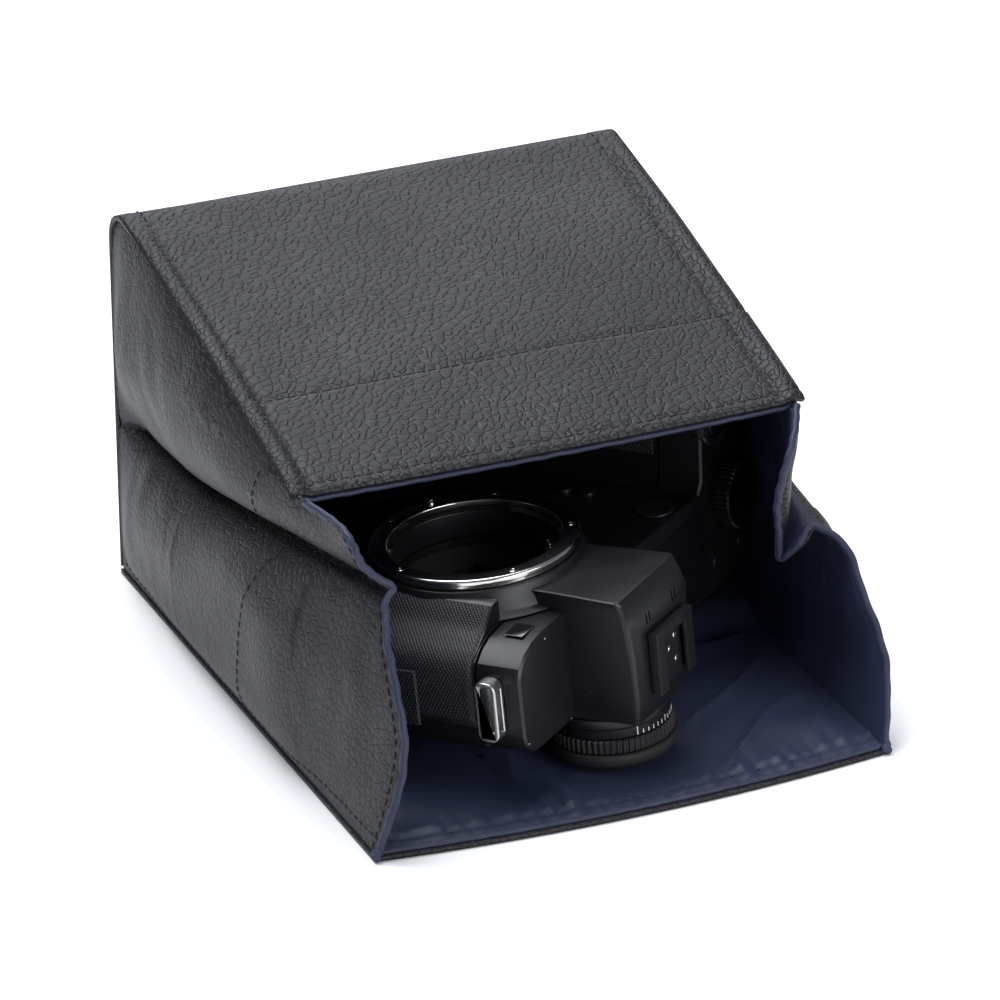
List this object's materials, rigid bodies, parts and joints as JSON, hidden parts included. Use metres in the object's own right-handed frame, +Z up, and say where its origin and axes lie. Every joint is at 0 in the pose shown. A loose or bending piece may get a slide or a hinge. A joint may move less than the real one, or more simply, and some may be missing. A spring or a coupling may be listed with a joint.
{
  "type": "mirrorless camera in a fold-over pouch",
  "caption": "Mirrorless camera body with an open lens mount, lying on its back in an open fold-over pouch of pebbled leather with a navy lining.",
  "frame": {"origin": "middle of the pouch's underside", "axes": "+Z up, +Y from the mouth to the closed end, +X to the right across the mouth"},
  "size_m": [0.175, 0.2225, 0.1255],
  "materials": {
    "leather": "charcoal pebbled full-grain leather, satin",
    "lining": "navy nylon lining, soft sheen",
    "foam": "foam pad",
    "black_metal": "satin black anodised magnesium and aluminium",
    "leatherette": "black grip covering, fine diamond grain",
    "steel": "polished steel",
    "rubber": "matt black rubber",
    "black_plastic": "matt black plastic",
    "display": "dark gloss window",
    "optical_glass": "coated glass",
    "gold": "gold-plated contacts",
    "sensor_glass": "coated filter glass",
    "disc": "plain satin disc"
  },
  "bodies": {
    "pouch": {"base_panel": "leather", "base_padding": "foam", "base_lining": "lining", "back_panel": "leather", "back_lining": "lining", "back_pocket": "leather", "left_fold_lower": "leather", "left_lining_lower": "lining", "right_fold_lower": "leather", "right_lining_lower": "lining"},
    "top": {"top_panel": "leather", "top_lining": "lining", "left_fold_upper": "leather", "left_lining_upper": "lining", "right_fold_upper": "leather", "right_lining_upper": "lining"},
    "camera": {"body_casing": "black_metal", "chassis": "black_metal", "mount_base": "black_metal", "top_cover": "black_metal", "hot_shoe": "black_metal", "eyepiece_barrel": "black_metal", "rear_cover": "black_metal", "base_plate": "black_metal", "left_leatherette": "leatherette", "grip_leatherette": "leatherette", "mount_ring": "steel", "mount_screw_1": "steel", "mount_screw_2": "steel", "mount_screw_3": "steel", "mount_screw_4": "steel", "mount_screw_5": "steel", "left_strap_lug": "steel", "right_strap_lug": "steel", "eyecup": "rubber", "shutter_frame": "black_plastic", "top_display": "display", "rear_screen": "display", "focus_lamp": "display", "eyepiece_lens": "optical_glass", "lens_contacts": "gold", "image_sensor": "sensor_glass", "front_disc": "disc"},
    "shutter_button": {"shutter_button": "black_metal"},
    "power_lever": {"power_lever": "steel"},
    "top_dial": {"top_dial": "black_metal"},
    "thumb_wheel": {"thumb_wheel": "black_metal"},
    "top_button_1": {"top_button_1": "black_metal"},
    "top_button_2": {"top_button_2": "black_metal"},
    "front_button_upper": {"front_button_upper": "black_metal"},
    "front_button_lower": {"front_button_lower": "black_metal"},
    "rear_button": {"rear_button": "black_metal"},
    "joystick": {"joystick": "rubber"},
    "diopter_ring": {"diopter_ring": "black_metal"},
    "lens_release_button": {"lens_release_button": "black_metal"},
    "lens_lock_pin": {"lens_lock_pin": "steel"},
    "battery_lever": {"battery_lever": "black_metal"},
    "battery": {"battery": "black_plastic"},
    "card_door": {"card_door": "black_metal"},
    "port_cover": {"port_cover": "rubber"}
  },
  "joints": [
    {"name": "top_lift", "type": "hinge", "parent": "pouch", "child": "top", "pos_m": [0, 0.0936, 0.1253], "axis": [-1, 0, 0], "range_deg": [0, 15]},
    {"name": "camera_slide", "type": "slide", "parent": "pouch", "child": "camera", "axis": [0, -1, 0], "range_m": [-0.03, 0.005]},
    {"name": "shutter_button_press", "type": "slide", "parent": "camera", "child": "shutter_button", "axis": [-0.6267, 0.7766, -0.0645], "range_m": [0, 0.001], "stiffness_N_per_m": 200},
    {"name": "power_lever_turn", "type": "hinge", "parent": "camera", "child": "power_lever", "pos_m": [0.06497, -0.01871, 0.07519], "axis": [0.6267, -0.7766, 0.0645], "range_deg": [0, 30]},
    {"name": "top_dial_turn", "type": "hinge", "parent": "camera", "child": "top_dial", "pos_m": [0.0705, -0.01643, 0.0489], "axis": [0.6267, -0.7766, 0.0645], "continuous": true},
    {"name": "thumb_wheel_turn", "type": "hinge", "parent": "camera", "child": "thumb_wheel", "pos_m": [0.05253, 0.0005, 0.02416], "axis": [0.6267, -0.7766, 0.0645], "continuous": true},
    {"name": "top_button_1_press", "type": "slide", "parent": "camera", "child": "top_button_1", "axis": [-0.6267, 0.7766, -0.0645], "range_m": [0, 0.0006], "stiffness_N_per_m": 200},
    {"name": "top_button_2_press", "type": "slide", "parent": "camera", "child": "top_button_2", "axis": [-0.6267, 0.7766, -0.0645], "range_m": [0, 0.0006], "stiffness_N_per_m": 200},
    {"name": "front_button_upper_press", "type": "slide", "parent": "camera", "child": "front_button_upper", "axis": [0.0622, -0.0327, -0.9975], "range_m": [0, 0.0006], "stiffness_N_per_m": 200},
    {"name": "front_button_lower_press", "type": "slide", "parent": "camera", "child": "front_button_lower", "axis": [0.0622, -0.0327, -0.9975], "range_m": [0, 0.0006], "stiffness_N_per_m": 200},
    {"name": "rear_button_press", "type": "slide", "parent": "camera", "child": "rear_button", "axis": [-0.0622, 0.0327, 0.9975], "range_m": [0, 0.0006], "stiffness_N_per_m": 200},
    {"name": "joystick_tilt", "type": "hinge", "parent": "camera", "child": "joystick", "pos_m": [0.03201, -0.00886, 0.01788], "axis": [-0.7768, -0.6291, -0.0279], "range_deg": [-5, 5], "stiffness_Nm_per_rad": 0.05},
    {"name": "diopter_turn", "type": "hinge", "parent": "camera", "child": "diopter_ring", "pos_m": [0.00759, -0.07285, 0.01173], "axis": [-0.0622, 0.0327, 0.9975], "range_deg": [-60, 60]},
    {"name": "lens_release_button_press", "type": "slide", "parent": "camera", "child": "lens_release_button", "axis": [0.0622, -0.0327, -0.9975], "range_m": [0, 0.0018], "stiffness_N_per_m": 300},
    {"name": "lens_lock_pin_slide", "type": "slide", "parent": "camera", "child": "lens_lock_pin", "axis": [0.0622, -0.0327, -0.9975], "range_m": [0, 0.0018], "stiffness_N_per_m": 100},
    {"name": "battery_lever_turn", "type": "hinge", "parent": "camera", "child": "battery_lever", "pos_m": [-0.00165, 0.03209, 0.03178], "axis": [0.6267, -0.7766, 0.0645], "range_deg": [0, 90]},
    {"name": "battery_eject", "type": "slide", "parent": "camera", "child": "battery", "axis": [-0.6267, 0.7766, -0.0645], "range_m": [0, 0.008]},
    {"name": "card_door_swing", "type": "hinge", "parent": "camera", "child": "card_door", "pos_m": [0.04759, 0.03374, 0.05384], "axis": [0.6267, -0.7766, 0.0645], "range_deg": [0, 75]},
    {"name": "port_cover_swing", "type": "hinge", "parent": "camera", "child": "port_cover", "pos_m": [-0.06602, -0.05915, 0.03907], "axis": [-0.6267, 0.7766, -0.0645], "range_deg": [0, 18]}
  ],
  "couplings": [
    {"joint": "lens_lock_pin_slide", "follows": "lens_release_button_press", "ratio": 1}
  ]
}
